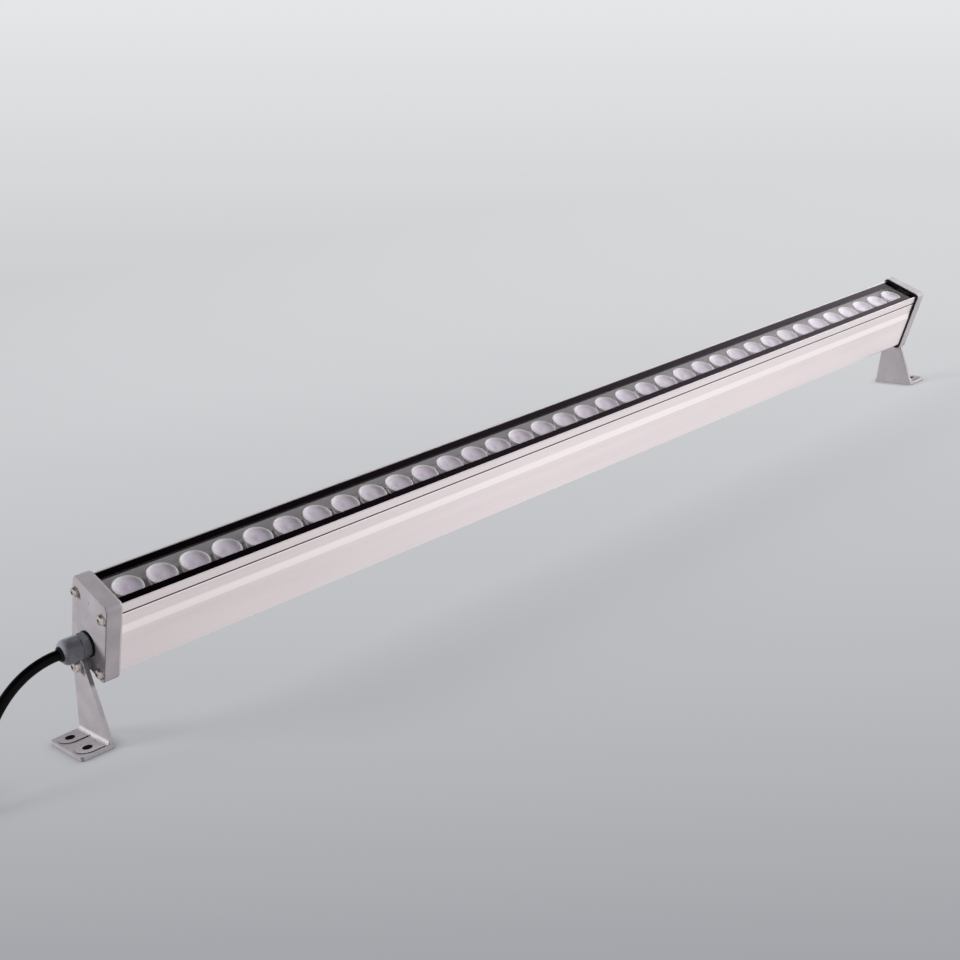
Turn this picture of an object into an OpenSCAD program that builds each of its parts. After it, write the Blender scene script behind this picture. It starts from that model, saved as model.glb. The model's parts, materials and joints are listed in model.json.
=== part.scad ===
// Outdoor wall washer light: a long aluminium housing with a row of lenses behind glass,
// carried at each end by a foot bracket that turns about one screw.
// Frame: X along the housing, Y away from the lit side, Z up. The feet stand on Z = 0.

/* [Housing] */
// Distance between the inner faces of the two end caps
span_l = 1000; // [600:5:1400]
// Width of the housing at its top
body_top_w = 40.4; // [39.6:0.2:44]
// Width of the housing below the sloped band
body_w = 41.6; // [41:0.2:46]
// Height of the housing
body_h = 62.6; // [60:0.2:80]
// Thickness of the outer walls
wall_t = 2; // [1.4:0.1:2.4]
// Radius of the two lower corners
body_corner_r = 4; // [2.5:0.5:6]
// Depth below the top where the sloped band starts
band_depth = 18.6; // [17.5:0.2:20]
// Height of the sloped band
band_h = 7.4; // [4:0.2:12]
// Depth below the top where the groove starts
groove_depth = 7; // [5.6:0.1:7.6]
// Height of the groove at its mouth
groove_h = 1.7; // [0.8:0.1:2.4]
// How far the groove cuts into the side
groove_cut = 0.8; // [0.4:0.1:1]
// Height of the sloped lower flank of the groove
groove_flank_h = 1; // [0.4:0.1:1.6]
// Depth of the shelf that carries the circuit boards
shelf_depth = 19; // [18:0.2:24]
// Thickness of that shelf
shelf_t = 3; // [2:0.2:4]

/* [Glass] */
// Width of the pocket that holds the glass
pocket_w = 37.4; // [36:0.2:38]
// Depth of the glass surface below the housing's top
glass_recess = 0.7; // [0.3:0.1:1.2]
// Thickness of the glass
glass_t = 3; // [2:0.2:3.2]
// Gap round the glass in its pocket
glass_gap = 0.15; // [0.1:0.05:0.4]
// Width of the clear window between the black borders
window_w = 23.4; // [18:0.2:26]
// Thickness of the black enamel border
border_t = 0.12; // [0.05:0.01:0.2]
// Thickness of the seal under the glass
seal_t = 0.8; // [0.4:0.1:1.2]
// Width of the chamber under the glass
chamber_w = 27; // [25:0.2:28]

/* [Lenses and boards] */
// Distance from one lens to the next
led_pitch = 27.5; // [25:0.5:40]
// Least distance from the first lens centre to the cap
led_margin = 16; // [14:0.5:30]
// Outer diameter of a lens
lens_d = 23; // [18:0.5:24]
// Height of the lens from its foot to the rim's top
lens_h = 10; // [9:0.2:11]
// Height of the domed top above the rim
lens_crown_h = 0.6; // [0.2:0.1:0.8]
// Thickness of the lens rim
lens_rim_t = 1.2; // [0.6:0.1:2]
// Diameter of the lens at its foot
lens_foot_d = 13; // [10:0.5:15]
// Wall of the lens holder
holder_wall = 1.2; // [0.8:0.1:1.4]
// Height of the lens holder above the board
holder_h = 6.2; // [5:0.2:7]
// Thickness of a circuit board
board_t = 1.6; // [1:0.1:2]
// Width of a circuit board
board_w = 25; // [22:0.5:26]
// Gap between the two circuit boards
board_gap = 1; // [0.4:0.1:2]
// Side of the square LED chip
chip_w = 3.5; // [2.5:0.1:5]
// Height of the LED chip
chip_h = 1.9; // [1:0.1:2.4]

/* [End caps] */
// Thickness of an end cap
cap_t = 11.5; // [9.5:0.5:16]
// How far the cap stands out past the sides of the housing
cap_side_out = 1.4; // [0.8:0.1:3]
// How far the cap stands out above the housing
cap_top_out = 3; // [2:0.1:5]
// How far the cap stands out below the housing
cap_bottom_out = 3.6; // [2:0.1:6]
// Radius of the cap's corners
cap_corner_r = 4; // [2:0.5:6]
// Radius of the cap's rounded outer edge
cap_edge_r = 0.8; // [0.3:0.1:1.5]
// Thickness of the cap's outer wall
cap_skin_t = 4; // [3:0.5:5]
// Thickness of the rubber gasket between cap and housing
gasket_t = 1.5; // [1:0.1:2.5]
// How far the gasket stays inside the outline of the cap
gasket_inset = 0.6; // [0.3:0.1:1]
// Distance of the cap screws from the middle, across the housing
screw_side = 17; // [16.6:0.1:17.4]
// Depth of the upper cap screws below the housing's top
screw_top_depth = 9.2; // [8.6:0.1:9.8]
// Diameter of the cap screw's shank
screw_d = 3.1; // [2.5:0.1:3.4]
// Length of the cap screw below its head
screw_l = 26; // [20:1:40]
// Diameter of the cap screw's head
screw_head_d = 7.6; // [6:0.2:8.4]
// Height of the cap screw's head
screw_head_h = 2.3; // [1.8:0.1:2.4]
// Thickness of the washer under the cap screw
screw_washer_t = 0.9; // [0.5:0.1:1]
// Diameter of that washer
screw_washer_d = 8.6; // [8.2:0.1:9]

/* [Cable gland] */
// Height of the gland's axis above the pivot
gland_rise = 16.8; // [16.8:0.2:20]
// Width across the flats of the gland's hexagon
gland_af = 17; // [15:0.2:17.2]
// Diameter of the gland's thread
gland_thread_d = 15.2; // [12:0.2:15.4]
// Thickness of the rubber washer under the hexagon
gland_washer_t = 1.5; // [1:0.1:2]
// Diameter of that washer
gland_washer_d = 19.4; // [18:0.1:19.6]
// Length of the hexagon
gland_hex_l = 6.2; // [6:0.1:8]
// Diameter of the dome nut
gland_nut_d = 18.8; // [17:0.1:19]
// Length of the dome nut
gland_nut_l = 13.2; // [12:0.2:16]
// Thickness of the locknut inside the cap
locknut_t = 3; // [2:0.2:3.2]

/* [Brackets] */
// Height of the pivot above the surface that the feet stand on
pivot_h = 59; // [56:0.5:90]
// Height of the pivot above the housing's bottom
pivot_rise = 1.8; // [1.4:0.1:2.2]
// Lean of the housing towards its lit side
tilt = 24; // [0:1:40]
// Distance from the cap to the bracket plate
standoff_l = 3.8; // [3.6:0.1:6]
// Thickness of the bracket
bracket_t = 3.2; // [2.4:0.1:4.4]
// Width of the bracket at its foot
foot_w = 45.8; // [44:0.2:60]
// Length of the foot, from the inner face of the plate
foot_l = 26; // [24:0.5:40]
// Radius of the bracket's round top
bracket_top_r = 7.8; // [7.2:0.1:7.9]
// Diameter of the stand-off boss
standoff_d = 12.4; // [10:0.2:14]
// Radius of the fillet between plate and foot
bend_r = 2.6; // [1:0.2:4]
// Radius of the foot's outer corners
foot_corner_r = 2.4; // [1:0.2:5]
// Distance between the two fixing holes
hole_spacing = 25.6; // [24:0.2:26]
// Diameter of a fixing hole
hole_d = 7.2; // [5:0.2:8]
// Distance from the fixing holes to the end of the foot
hole_edge = 10.4; // [9.8:0.1:12]
// Radius of the raised pad round a fixing hole
pad_r = 8.8; // [6:0.2:9.2]
// Height of the raised pads
pad_h = 0.7; // [0.3:0.1:1.2]
// Diameter of the pivot screw's shank
pivot_d = 5; // [4:0.2:6]
// Length of thread that the pivot screw has in the cap
pivot_grip_l = 8; // [6:0.5:9]
// Diameter of the pivot screw's head
pivot_head_d = 9.5; // [8:0.1:10]
// Height of the pivot screw's head
pivot_head_h = 2.8; // [2.2:0.1:3.4]
// Diameter of the flat washer under that head
pivot_washer_d = 10.4; // [9.8:0.1:12]
// Thickness of that flat washer
pivot_washer_t = 1; // [0.6:0.1:1.4]
// Thickness of the spring washer
spring_washer_t = 1.2; // [0.8:0.1:1.6]

/* [Cable] */
// Diameter of the supply cable
cable_d = 7.8; // [6:0.1:8]
// Radius of the coil at the middle of its turns
coil_r = 43; // [40:0.5:47]
// Gap between one turn of the coil and the next
coil_gap = 0.6; // [0.5:0.1:1]
// Diameter of one core of the cable
core_d = 2.4; // [1.8:0.1:2.4]
// Thickness of the cable tie's band
tie_t = 1.1; // [0.8:0.1:1.2]
// Width of the cable tie's band
tie_w = 4; // [2.5:0.1:5]

/* [Driver] */
// Length of the driver
driver_l = 220; // [120:5:300]
// Width of the driver
driver_w = 26; // [20:0.5:26]
// Height of the driver
driver_h = 24; // [18:0.5:27]
// Distance from the left cap to the driver
driver_inset = 60; // [40:5:120]
// Thickness of the adhesive pads under the driver
driver_pad_t = 2; // [1:0.2:3]
// Length of each of those pads
driver_pad_l = 30; // [20:1:50]

/* [Hidden] */
$fn = 64;

// Small values that the pieces share
overrun = 1;
shaft_gap = 0.05;
turn_gap = 0.2;
arc_steps = 8;
half = 0.5;

// Colours
alu_c = [0.86, 0.83, 0.84];
coat_c = [0.66, 0.64, 0.66];
steel_c = [0.82, 0.82, 0.84];
black_c = [0.04, 0.04, 0.04];
gland_c = [0.44, 0.45, 0.49];

// Housing
body_l = span_l - 2 * gasket_t;
body_half_w = body_w / 2;
top_half_w = body_top_w / 2;
lip_chamfer = 0.4;
band_end = band_depth + band_h;
port_d = screw_d + 2 * shaft_gap;
port_wall = 1.7;
port_slot = 1.2;
screw_bottom_depth = body_h - (body_half_w - screw_side);
ledge_depth = glass_recess + glass_t + seal_t;
port_zone_depth = screw_top_depth + port_d / 2 + port_wall;
lower_top = shelf_depth + shelf_t;
wire_hole_d = 7;

// Glass
glass_l = body_l - 2 * glass_gap;
glass_half_w = pocket_w / 2 - glass_gap;
border_w = glass_half_w - window_w / 2;
seal_w = (pocket_w - chamber_w) / 2;

// Lenses and boards
led_count = floor((span_l - 2 * led_margin) / led_pitch) + 1;
led_x0 = -(led_count - 1) * led_pitch / 2;
board_top = shelf_depth - board_t;
left_count = floor(led_count / 2);
seam_x = led_x0 + (left_count - half) * led_pitch;
lens_clear = 0.3;
lens_top = glass_recess + glass_t + lens_clear;
lens_rim_depth = lens_top + lens_crown_h;
lens_foot_depth = lens_rim_depth + lens_h;
lens_bore_share = 1.6;
lens_bore_d = chip_w * lens_bore_share;
lens_bore_depth_share = 0.33;
lens_bore_h = lens_h * lens_bore_depth_share;
lens_seat_gap = 0.1;
holder_top = board_top - holder_h;
crown_r = (pow(lens_d / 2, 2) + pow(lens_crown_h, 2)) / (2 * lens_crown_h);
board_screw_pair_count = 5;
board_screw_side_share = 0.42;
board_screw_d = 2.4;
board_screw_head_d = 4.4;
board_screw_head_h = 1.4;

// End caps
pivot_depth = body_h - pivot_rise;
pocket_margin = 1.5;
cap_w = body_w + 2 * cap_side_out;
cap_h = body_h + cap_top_out + cap_bottom_out;
cap_mid_depth = (body_h + cap_bottom_out - cap_top_out) / 2;
cap_face = span_l / 2 + cap_t;
boss_wall = 2.2;

// Gland
gland_depth = pivot_depth - gland_rise;
gland_hole_d = gland_thread_d + 2 * shaft_gap;
gland_hex_x = cap_face + gland_washer_t;
gland_nut_gap = 0.2;
gland_nut_x = gland_hex_x + gland_hex_l + gland_nut_gap;
gland_end_x = gland_nut_x + gland_nut_l;
gland_bore_d = cable_d + 2 * shaft_gap;
seal_lip = 1.8;
seal_lip_wall = 1.6;
seal_lip_d = cable_d + 2 * seal_lip_wall;
seal_wall = 1.2;
seal_d = cable_d + 2 * seal_wall;
cable_exit_x = gland_end_x + seal_lip;
dome_share = 0.3;
nut_flat_share = 0.5;
mouth_rim = 0.3;
mouth_d = seal_lip_d + 2 * mouth_rim;
thread_depth = 0.6;
gland_stub_d = gland_thread_d - 2 * thread_depth;
thread_stub_share = 0.62;
gland_stub_l = gland_nut_l * thread_stub_share;
locknut_af_share = 1.12;
hex_bevel = 1;

// Brackets
plate_x = cap_face + standoff_l;
plate_out_x = plate_x + bracket_t;
foot_end_x = plate_x + foot_l;
hole_x = foot_end_x - hole_edge;
corner_reach = norm([foot_w / 2, pivot_h]);
side_turn = atan2(foot_w / 2, pivot_h) + acos(bracket_top_r / corner_reach);
// Share of the round top's radius at which the plate's straight sides end, just inside it
side_end_share = 0.998;
washer_x = plate_out_x + turn_gap;
spring_x = washer_x + pivot_washer_t;
pivot_head_x = spring_x + spring_washer_t;
pivot_bore_d = pivot_d + 2 * shaft_gap;
hex_socket_share = 0.33;
socket_depth_share = 0.6;
spring_split = 1;

// Place of the pivot across the object, which centres the outline on the frame
cap_above = pivot_depth + cap_top_out;
cap_below = body_h + cap_bottom_out - pivot_depth;
cap_run = cap_w / 2 - cap_corner_r;
reach_front = cap_run * cos(tilt) + (cap_above - cap_corner_r) * sin(tilt) + cap_corner_r;
reach_back = cap_run * cos(tilt) + (cap_below - cap_corner_r) * sin(tilt) + cap_corner_r;
front_y = max(reach_front, foot_w / 2);
back_y = max(reach_back, foot_w / 2);
pivot_y = (front_y - back_y) / 2;
gland_y = pivot_y - gland_rise * sin(tilt);
gland_z = pivot_h + gland_rise * cos(tilt);

// Cable: the free stretch from the gland down to the floor, chosen by hand. The second number of
// a point is how far aside of the gland it lies, which brings the coil nearly in line with the light.
floor_gap = 0.2;
coil_lift = tie_t + floor_gap;
coil_z = coil_lift + cable_d / 2;
lead_drop_points = [
    [-541.5, 0, 74.1], [-550, 0, 72.7], [-559, 0, 69.9], [-568, 0, 65.5], [-576.5, -0.2, 59.8],
    [-584.5, -0.9, 52.9], [-592, -2.2, 45.3], [-599.5, -4.1, 37.4], [-607, -6.5, 29.9], [-615, -9.5, 23.1],
    [-624, -12.9, 17], [-634, -16.2, 11.8], [-644, -18.7, 8.2], [-653, -19.8, 6.1]
];
coil_pitch = cable_d + coil_gap;
coil_turns = 3;
coil_out_r = coil_r + coil_pitch * coil_turns / 4;
coil_x = -670;
coil_aside = 20;
lead_end = [coil_x + cable_d, gland_y - coil_aside, coil_z];
lead_points = concat(
    [[-cable_exit_x, gland_y, gland_z]],
    [for (p = lead_drop_points) [p.x, gland_y + p.y, p.z]],
    [lead_end]
);
coil_y = lead_end.y + coil_out_r;
coil_rings = 24;
coil_climb = 0.25;

// Driver
driver_x0 = -span_l / 2 + driver_inset;
driver_mid_depth = body_h - wall_t - driver_pad_t - driver_h / 2;
driver_pad_inset = 3;
driver_pad_w = driver_w - 2 * driver_pad_inset;
driver_edge_r = 2;
wire_d = 2;
wire_space = 3;
wire_reach = 20;
wire_hole_x = driver_x0 + driver_l + wire_reach;
stub_in = 4;
stub_end_x = span_l / 2 - stub_in;

// Frames and shared shapes

// Moves children from the housing's own frame, with Z = 0 at its top edge, to where it leans
module in_housing() {
    translate([0, pivot_y, pivot_h]) rotate([tilt, 0, 0]) translate([0, 0, pivot_depth]) children();
}

// Moves children to the pivot line
module in_bracket() {
    translate([0, pivot_y, pivot_h]) children();
}

// Children are made for the right end; the left end is their mirror image
module at_end(side) {
    mirror([side < 0 ? 1 : 0, 0, 0]) children();
}

// Extrudes a drawing in (Y, Z) along X
module along_x(x0, l) {
    translate([x0, 0, 0]) rotate([90, 0, 90]) linear_extrude(l) children();
}

// Turns a drawing in (radius, X) about the X axis
module turned(x0) {
    translate([x0, 0, 0]) rotate([0, 90, 0]) rotate_extrude() children();
}

module rounded_rect(w, h, r) {
    square([w - 2 * r, h], center = true);
    square([w, h - 2 * r], center = true);
    for (a = [-1, 1], b = [-1, 1]) translate([a * (w / 2 - r), b * (h / 2 - r)]) circle(r);
}

// Hexagon with the given width across its flats, flats above and below
module hexagon(af) {
    circle(af / 2 / cos(180 / 6), $fn = 6);
}

module screw_places() {
    for (s = [-1, 1], d = [screw_top_depth, screw_bottom_depth])
        translate([0, s * screw_side, -d]) children();
}

// The same four places in a drawing in (Y, Z)
module port_places() {
    for (s = [-1, 1], d = [screw_top_depth, screw_bottom_depth]) translate([s * screw_side, -d]) children();
}

// Screw along +X with a domed head, its head's underside at X = 0
module socket_screw(d, l, head_d, head_h) {
    difference() {
        union() {
            translate([-l, 0, 0]) rotate([0, 90, 0]) cylinder(d = d, h = l + overrun * half);
            turned(0) polygon(dome_points(head_d / 2, head_h));
        }
        along_x(head_h * (1 - socket_depth_share), head_h) hexagon(head_d * hex_socket_share);
    }
}

// Half outline of a button head: flat underside, short edge, domed top
head_edge_share = 0.25;
function dome_points(r, h) = concat(
    [[0, 0], [r, 0]],
    [for (i = [0:arc_steps]) let (a = 90 * i / arc_steps)
        [r * (half + half * cos(a)), h * (head_edge_share + (1 - head_edge_share) * sin(a))]],
    [[0, h]]
);

// Round bar along X from x0
module bar_x(x0, l, d) {
    translate([x0, 0, 0]) rotate([0, 90, 0]) cylinder(d = d, h = l);
}

module ring_x(x0, t, d_out, d_in) {
    translate([x0, 0, 0]) rotate([0, 90, 0]) difference() {
        cylinder(d = d_out, h = t);
        translate([0, 0, -overrun]) cylinder(d = d_in, h = t + 2 * overrun);
    }
}

// Housing

// One side of the housing's outline, from the top edge down: lip, groove, band, lower corner
groove_bottom = -groove_depth - groove_h;
corner_y = body_half_w - body_corner_r;
side_points = [
    [top_half_w - lip_chamfer, 0],
    [top_half_w, -lip_chamfer],
    [top_half_w, -groove_depth],
    [top_half_w - groove_cut, -groove_depth],
    [top_half_w - groove_cut, groove_bottom + groove_flank_h],
    [top_half_w, groove_bottom - groove_flank_h * half],
    [top_half_w, -band_depth],
    [body_half_w, -band_end],
    [body_half_w, -body_h + body_corner_r]
];

module housing_outline() {
    last = len(side_points) - 1;
    polygon(concat([for (p = side_points) [-p.x, p.y]], [for (i = [last:-1:0]) side_points[i]]));
    translate([-corner_y, -body_h]) square([2 * corner_y, body_h * half]);
    for (s = [-1, 1]) translate([s * corner_y, -body_h + body_corner_r]) circle(body_corner_r);
}

// Glass pocket, chamber for the lenses with a wider foot, and the chamber for the driver
module housing_hollows() {
    translate([-pocket_w / 2, -ledge_depth]) square([pocket_w, ledge_depth + overrun]);
    translate([-chamber_w / 2, -shelf_depth]) square([chamber_w, shelf_depth]);
    translate([-top_half_w + wall_t, -shelf_depth])
        square([body_top_w - 2 * wall_t, shelf_depth - port_zone_depth]);
    translate([0, -(lower_top + body_h - wall_t) / 2])
        rounded_rect(body_w - 2 * wall_t, body_h - wall_t - lower_top, body_corner_r - wall_t);
}

// Openings that join each screw port to the chamber beside it
module port_slots() {
    for (s = [-1, 1]) {
        translate([s * screw_side - port_slot / 2, -port_zone_depth - overrun])
            square([port_slot, port_zone_depth + overrun - screw_top_depth]);
        mirror([s < 0 ? 1 : 0, 0])
            translate([screw_side - port_d / 2 - port_wall - overrun, -screw_bottom_depth - port_slot / 2])
                square([port_d / 2 + port_wall + overrun, port_slot]);
    }
}

module housing_profile() {
    difference() {
        union() {
            difference() {
                housing_outline();
                housing_hollows();
            }
            for (s = [-1, 1]) translate([s * screw_side, -screw_bottom_depth])
                circle(port_d / 2 + port_wall);
        }
        port_places() circle(d = port_d);
        port_slots();
    }
}

module housing_extrusion() {
    color(alu_c) in_housing() difference() {
        along_x(-body_l / 2, body_l) housing_profile();
        translate([wire_hole_x, 0, -lower_top - overrun])
            cylinder(d = wire_hole_d, h = shelf_t + 2 * overrun);
        board_screw_places() translate([0, 0, -board_t - shelf_t - overrun])
            cylinder(d = board_screw_d + 2 * shaft_gap, h = shelf_t + 2 * overrun);
    }
}

// Glass

module front_glass() {
    color([0.8, 0.85, 0.85, 0.4]) in_housing()
        translate([-glass_l / 2, -glass_half_w, -glass_recess - glass_t])
            cube([glass_l, 2 * glass_half_w, glass_t]);
}

module glass_border(side) {
    color(black_c) in_housing() along_x(-glass_l / 2, glass_l)
        translate([side * (window_w + border_w) / 2, -glass_recess + border_t / 2])
            square([border_w, border_t], center = true);
}

module glass_seal(side) {
    color([0.2, 0.2, 0.2]) in_housing() along_x(-glass_l / 2, glass_l)
        translate([side * (chamber_w + seal_w) / 2, -ledge_depth + seal_t / 2])
            square([seal_w, seal_t], center = true);
}

// Lenses, chips and boards

module at_leds(from = 0, to = led_count - 1, step = 1) {
    for (i = [from:step:to]) translate([led_x0 + i * led_pitch, 0, 0]) children();
}

module lens() {
    crown = [for (i = [0:arc_steps]) let (r = lens_d / 2 * i / arc_steps)
        [r, lens_h + lens_crown_h - crown_r + sqrt(pow(crown_r, 2) - pow(r, 2))]];
    rim_z = lens_h - lens_rim_t;
    rotate_extrude() polygon(concat(
        [[lens_bore_d / 2, 0], [lens_bore_d / 2 * half, lens_bore_h], [0, lens_bore_h]],
        crown,
        [[lens_d / 2, rim_z], [cone_r(rim_z), rim_z], [cone_r(0), 0]]
    ));
}

module lenses() {
    color([0.85, 0.82, 0.88]) in_housing() at_leds() translate([0, 0, -lens_foot_depth]) lens();
}

// Radius of the lens cone at a height above the lens foot
function cone_r(h) =
    let (foot_r = lens_foot_d / 2, top_r = lens_d / 2 - lens_rim_t * half)
    foot_r + (top_r - foot_r) * h / (lens_h - lens_rim_t);

module holder() {
    top_h = lens_foot_depth - holder_top;
    seat_r = lens_foot_d / 2 + lens_seat_gap;
    top_r = cone_r(top_h) + lens_seat_gap;
    foot_gap = board_top - lens_foot_depth;
    rotate_extrude() polygon([
        [seat_r - lens_seat_gap - holder_wall, -foot_gap], [top_r + holder_wall, -foot_gap],
        [top_r + holder_wall, top_h], [top_r, top_h], [seat_r, 0],
        [seat_r, -lens_seat_gap], [seat_r - lens_seat_gap - holder_wall, -lens_seat_gap]
    ]);
}

module lens_holders() {
    color([0.25, 0.25, 0.25]) in_housing() at_leds() translate([0, 0, -lens_foot_depth]) holder();
}

chip_lens_share = 0.8;

module led_chips() {
    color([0.95, 0.9, 0.6]) in_housing() at_leds() translate([0, 0, -board_top]) union() {
        translate([-chip_w / 2, -chip_w / 2, 0]) cube([chip_w, chip_w, chip_h * half]);
        cylinder(d = chip_w * chip_lens_share, h = chip_h);
    }
}

// Pairs of screws between the lenses of each board, never at the seam between the boards
module board_screw_places() {
    for (range = [[0, left_count - 2], [left_count, led_count - 2]])
        at_leds(range[0], range[1], max(1, floor((range[1] - range[0]) / (board_screw_pair_count - 1))))
            for (s = [-1, 1])
                translate([led_pitch / 2, s * board_w * board_screw_side_share, -board_top]) children();
}

module led_board(side) {
    end_x = led_x0 - led_pitch / 2;
    x0 = side < 0 ? end_x : seam_x + board_gap / 2;
    x1 = side < 0 ? seam_x - board_gap / 2 : -end_x;
    color([0.9, 0.9, 0.88]) in_housing() difference() {
        translate([x0, -board_w / 2, -shelf_depth]) cube([x1 - x0, board_w, board_t]);
        board_screw_places() translate([0, 0, -board_t - overrun])
            cylinder(d = board_screw_d + 2 * shaft_gap, h = board_t + 2 * overrun);
    }
}

module board_screws() {
    color(steel_c) in_housing() board_screw_places() union() {
        translate([0, 0, -board_t - shelf_t])
            cylinder(d = board_screw_d, h = board_t + shelf_t + board_screw_head_h * half);
        cylinder(d = board_screw_head_d, h = board_screw_head_h);
    }
}

// Driver and wires

module driver() {
    color([0.9, 0.9, 0.92]) in_housing() along_x(driver_x0, driver_l) translate([0, -driver_mid_depth])
        rounded_rect(driver_w, driver_h, driver_edge_r);
}

module driver_pads() {
    color([0.3, 0.3, 0.3]) in_housing() for (x = [driver_x0, driver_x0 + driver_l - driver_pad_l])
        translate([x, -driver_pad_w / 2, -body_h + wall_t]) cube([driver_pad_l, driver_pad_w, driver_pad_t]);
}

module supply_wires() {
    color([0.3, 0.2, 0.15]) in_housing() for (i = [-1:1]) translate([0, i * core_d, -gland_depth])
        bar_x(-stub_end_x, driver_x0 + stub_end_x, wire_d);
}

module output_wires() {
    from_x = driver_x0 + driver_l;
    color([0.6, 0.1, 0.1]) in_housing() for (s = [-1, 1])
        translate([0, s * wire_space * half, -driver_mid_depth]) {
            bar_x(from_x, wire_hole_x - from_x, wire_d);
            translate([wire_hole_x, 0, 0]) cylinder(d = wire_d, h = driver_mid_depth - shelf_depth);
            translate([wire_hole_x, 0, 0]) sphere(d = wire_d);
        }
}

// End caps

module cap_outline(inset) {
    translate([0, -cap_mid_depth]) rounded_rect(cap_w - 2 * inset, cap_h - 2 * inset, cap_corner_r - inset);
}

// The cap's pocket and the gasket's opening: as wide as the hollow housing, clear of the screws
module cap_pocket() {
    top = -ledge_depth - pocket_margin;
    bottom = -body_h + wall_t;
    difference() {
        translate([0, (top + bottom) / 2])
            rounded_rect(body_w - 2 * wall_t, top - bottom, body_corner_r - wall_t);
        port_places() circle(port_d / 2 + boss_wall);
        translate([0, -pivot_depth]) circle(pivot_d / 2 + boss_wall);
    }
}

// Half section through the cap's thickness, out to r, with its outer edge rounded
module edge_section(r) {
    square([r - cap_edge_r, cap_t]);
    square([r, cap_t - cap_edge_r]);
    translate([r - cap_edge_r, cap_t - cap_edge_r]) circle(cap_edge_r);
}

// Solid cap: four round corners and the two straight bands that cross between them
module cap_block() {
    run_y = cap_w / 2 - cap_corner_r;
    run_z = cap_h / 2 - cap_corner_r;
    translate([span_l / 2, 0, -cap_mid_depth]) {
        for (a = [-1, 1], b = [-1, 1]) translate([0, a * run_y, b * run_z])
            rotate([0, 90, 0]) rotate_extrude() edge_section(cap_corner_r);
        rotate([0, 0, -90]) linear_extrude(2 * run_z, center = true)
            for (s = [0, 1]) mirror([s, 0]) edge_section(cap_w / 2);
        rotate([90, 0, 0]) rotate([0, 0, -90]) linear_extrude(2 * run_y, center = true)
            for (s = [0, 1]) mirror([s, 0]) edge_section(cap_h / 2);
    }
}

module end_cap(side) {
    color(coat_c) in_housing() at_end(side) difference() {
        cap_block();
        along_x(span_l / 2 - overrun, cap_t - cap_skin_t + overrun) cap_pocket();
        screw_places() ring_hole(span_l / 2, port_d);
        translate([0, 0, -pivot_depth]) ring_hole(cap_face - pivot_grip_l - overrun, pivot_d + 2 * shaft_gap);
        if (side < 0) translate([0, 0, -gland_depth]) ring_hole(span_l / 2, gland_hole_d);
    }
}

// Round hole along X that starts at a place and runs out of the cap's face
module ring_hole(x0, d) {
    translate([x0 - overrun, 0, 0]) rotate([0, 90, 0]) cylinder(d = d, h = cap_face - x0 + 2 * overrun);
}

module end_gasket(side) {
    color(black_c) in_housing() at_end(side) difference() {
        along_x(body_l / 2, gasket_t) cap_outline(gasket_inset);
        along_x(body_l / 2 - overrun, gasket_t + 2 * overrun) cap_pocket();
        screw_places() translate([body_l / 2 - overrun, 0, 0]) rotate([0, 90, 0])
            cylinder(d = port_d, h = gasket_t + 2 * overrun);
    }
}

module cap_screws(side) {
    color(steel_c) in_housing() at_end(side) screw_places() translate([cap_face + screw_washer_t, 0, 0])
        socket_screw(screw_d, screw_l, screw_head_d, screw_head_h);
}

module cap_screw_washers(side) {
    color(steel_c) in_housing() at_end(side) screw_places()
        ring_x(cap_face, screw_washer_t, screw_washer_d, screw_d + 2 * shaft_gap);
}

// Cable gland, on the left cap

module on_gland() {
    in_housing() at_end(-1) translate([0, 0, -gland_depth]) children();
}

module gland_washer() {
    color(black_c) on_gland() ring_x(cap_face, gland_washer_t, gland_washer_d, gland_thread_d);
}

module gland_body() {
    hex_r = gland_washer_d / 2;
    back_x = gland_hex_x - cap_skin_t - locknut_t - gland_washer_t;
    front_x = gland_hex_x + gland_hex_l + gland_stub_l;
    color([0.34, 0.36, 0.4]) on_gland() difference() {
        union() {
            intersection() {
                along_x(gland_hex_x, gland_hex_l) hexagon(gland_af);
                turned(gland_hex_x) polygon([
                    [0, 0], [gland_af * half, 0], [hex_r, hex_bevel], [hex_r, gland_hex_l - hex_bevel],
                    [gland_af * half, gland_hex_l], [0, gland_hex_l]
                ]);
            }
            bar_x(back_x, gland_hex_x - back_x + overrun, gland_thread_d);
            bar_x(gland_hex_x + overrun, front_x - gland_hex_x - overrun, gland_stub_d);
        }
        bar_x(back_x - overrun, front_x - back_x + 2 * overrun, seal_d + 2 * shaft_gap);
    }
}

// Outline of the dome nut: a straight skirt and a quarter round that closes on the mouth
module nut_outline() {
    dome_l = gland_nut_l * dome_share;
    skirt_l = gland_nut_l - dome_l;
    r = gland_nut_d / 2;
    polygon(concat(
        [[0, 0], [r - lip_chamfer, 0], [r, lip_chamfer]],
        [for (i = [0:arc_steps]) let (a = 90 * i / arc_steps)
            [mouth_d / 2 + (r - mouth_d / 2) * cos(a), skirt_l + dome_l * sin(a)]],
        [[0, gland_nut_l]]
    ));
}

module gland_nut() {
    flat_l = gland_nut_l * nut_flat_share;
    color(gland_c) on_gland() difference() {
        intersection() {
            turned(gland_nut_x) nut_outline();
            union() {
                along_x(gland_nut_x, flat_l) hexagon(gland_nut_d - lip_chamfer);
                turned(gland_nut_x + flat_l) square([gland_nut_d, gland_nut_l]);
            }
        }
        bar_x(gland_nut_x - overrun, gland_stub_l + overrun, gland_stub_d + 2 * shaft_gap);
        bar_x(gland_nut_x, gland_nut_l + overrun, seal_lip_d + 2 * shaft_gap);
    }
}

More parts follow.
